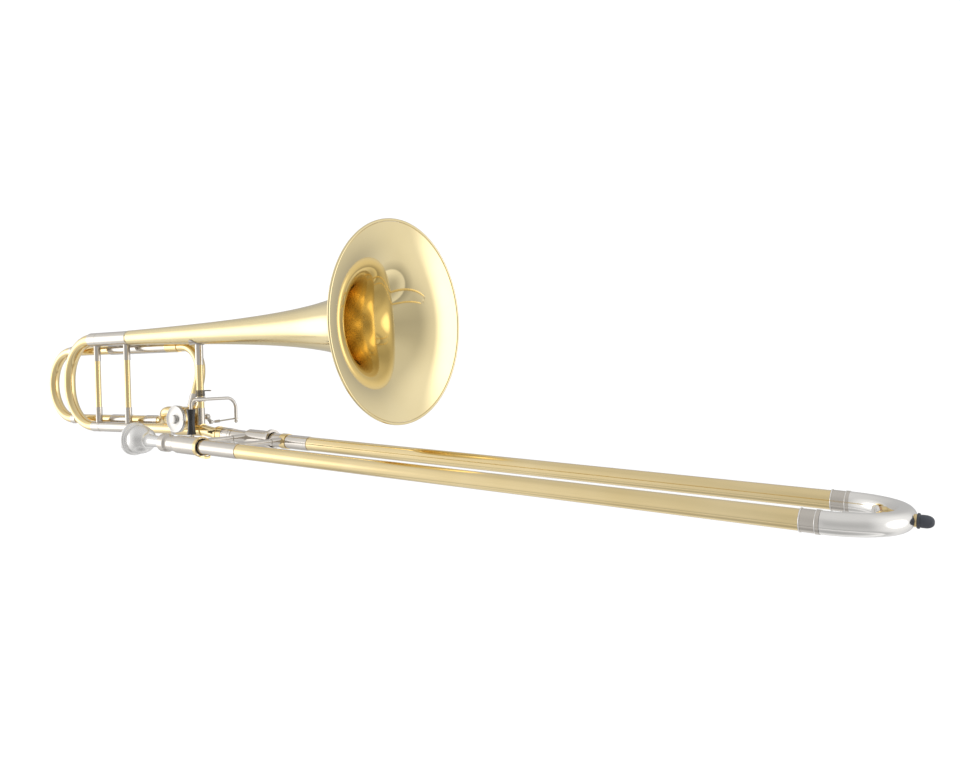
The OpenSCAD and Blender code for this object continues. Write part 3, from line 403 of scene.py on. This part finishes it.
def studio_sweep():
    """A round pale floor that curves up into a wall on every side."""
    floor_z, flat, bend, top = -0.32, 2.2, 1.2, 2.4
    profile = [(0.01, floor_z), (flat, floor_z)]
    bend_steps, count = 16, 128
    for i in range(1, bend_steps + 1):
        a = math.pi / 2 * i / bend_steps
        profile.append((flat + bend * math.sin(a), floor_z + bend - bend * math.cos(a)))
    profile.append((flat + bend, top))
    centre = Vector((0.15, 0, 0))
    mesh = bmesh.new()
    rows = [[mesh.verts.new(centre + Vector((r * math.cos(a), r * math.sin(a), z))) for r, z in profile]
            for a in (2 * math.pi * i / count for i in range(count))]
    for i in range(count):
        a, b = rows[i], rows[(i + 1) % count]
        for j in range(len(profile) - 1):
            mesh.faces.new((a[j], a[j + 1], b[j + 1], b[j])).smooth = True
    mesh.faces.new([row[0] for row in rows])
    data = bpy.data.meshes.new("studio_sweep")
    mesh.to_mesh(data)
    mesh.free()
    data.materials.append(paper())
    sweep = bpy.data.objects.new("studio_sweep", data)
    sweep.visible_glossy = False
    scene.collection.objects.link(sweep)


def softbox(name, place, target, size, power):
    """A large lamp for the paper and the matt pieces. The metal reflects the studio's air instead."""
    light = bpy.data.lights.new(name, "AREA")
    light.shape = "RECTANGLE"
    light.size, light.size_y = size
    light.energy = power
    lamp = bpy.data.objects.new(name, light)
    lamp.location = place
    lamp.rotation_euler = (Vector(target) - Vector(place)).to_track_quat("-Z", "Y").to_euler()
    lamp.visible_glossy = False
    scene.collection.objects.link(lamp)


def heading(azimuth, elevation):
    """A direction from two angles in degrees."""
    a, e = math.radians(azimuth), math.radians(elevation)
    return (math.cos(e) * math.cos(a), math.cos(e) * math.sin(a), math.sin(e))


# Soft lights round the object: azimuth, elevation, half-width where they end and where they are full, in
# degrees, and strength
AIR_LIGHTS = [(-152, -2, 62, 18, 0.42), (-154, -2, 28, 5, 1.5), (28, 4, 62, 15, 0.42), (22, 4, 28, 5, 1.2),
              (100, -50, 45, 15, 0.2)]
# The level behind them by height, from straight down (0) to straight up (1). The dark step is a table's edge.
AIR_LEVELS = [(0.0, 0.42), (0.05, 0.55), (0.09, 0.8), (0.113, 0.84), (0.123, 0.38), (0.14, 0.44), (0.2, 0.6),
              (0.32, 0.55), (0.5, 0.49), (0.7, 0.54), (0.9, 0.68), (1.0, 0.7)]


def studio_air():
    """Light from all round, and the only thing the metal mirrors besides the object."""
    world = bpy.data.worlds.new("studio_air")
    world.use_nodes = True
    tree = world.node_tree
    coords = tree.nodes.new("ShaderNodeTexCoord")
    height = tree.nodes.new("ShaderNodeSeparateXYZ")
    tree.links.new(coords.outputs["Generated"], height.inputs["Vector"])
    share = tree.nodes.new("ShaderNodeMapRange")
    share.inputs["From Min"].default_value = -1
    tree.links.new(height.outputs["Z"], share.inputs["Value"])
    level = tree.nodes.new("ShaderNodeValToRGB")
    for i, (place, value) in enumerate(AIR_LEVELS):
        element = level.color_ramp.elements[i] if i < 2 else level.color_ramp.elements.new(place)
        element.position = place
        element.color = (value, value, value, 1)
    tree.links.new(share.outputs["Result"], level.inputs["Fac"])
    total = level.outputs["Color"]
    for azimuth, elevation, end, full, strength in AIR_LIGHTS:
        facing = tree.nodes.new("ShaderNodeVectorMath")
        facing.operation = "DOT_PRODUCT"
        facing.inputs[1].default_value = heading(azimuth, elevation)
        tree.links.new(coords.outputs["Generated"], facing.inputs[0])
        glow = tree.nodes.new("ShaderNodeMapRange")
        glow.interpolation_type = "SMOOTHSTEP"
        glow.inputs["From Min"].default_value = math.cos(math.radians(end))
        glow.inputs["From Max"].default_value = math.cos(math.radians(full))
        glow.inputs["To Min"].default_value = 0
        glow.inputs["To Max"].default_value = strength
        tree.links.new(facing.outputs["Value"], glow.inputs["Value"])
        add = tree.nodes.new("ShaderNodeMath")
        add.operation = "ADD"
        tree.links.new(glow.outputs["Result"], add.inputs[0])
        tree.links.new(total, add.inputs[1])
        total = add.outputs["Value"]
    background = tree.nodes["Background"]
    tree.links.new(total, background.inputs["Strength"])
    background.inputs["Color"].default_value = (1, 1, 1, 1)
    scene.world = world


def studio():
    """The air, one lamp and the paper. Twelve bounces let the bell's throat mirror itself."""
    studio_air()
    softbox("key", place=(0.4, -0.9, 2.2), target=(0.1, 0, 0), size=(2.4, 2.0), power=22)
    studio_sweep()
    scene.cycles.glossy_bounces = 12
    scene.view_settings.view_transform = "Standard"


def camera():
    """Seen from the mouthpiece's side of the bell, level with the slide, from in front of the bell."""
    yaw, tilt, roll = math.radians(33.582), math.radians(-2.694), math.radians(0.999)
    lens = bpy.data.cameras.new("camera")
    lens.sensor_width = 36
    lens.lens = 32.956
    lens.clip_start = 0.01
    eye = bpy.data.objects.new("camera", lens)
    eye.location = (0.82089, -0.72241, 0.11827)
    turn = (Matrix.Rotation(yaw, 3, "Z") @ Matrix.Rotation(math.pi / 2 + tilt, 3, "X")
            @ Matrix.Rotation(roll, 3, "Z"))
    eye.rotation_euler = turn.to_euler()
    scene.collection.objects.link(eye)
    scene.camera = eye


studio()
camera()
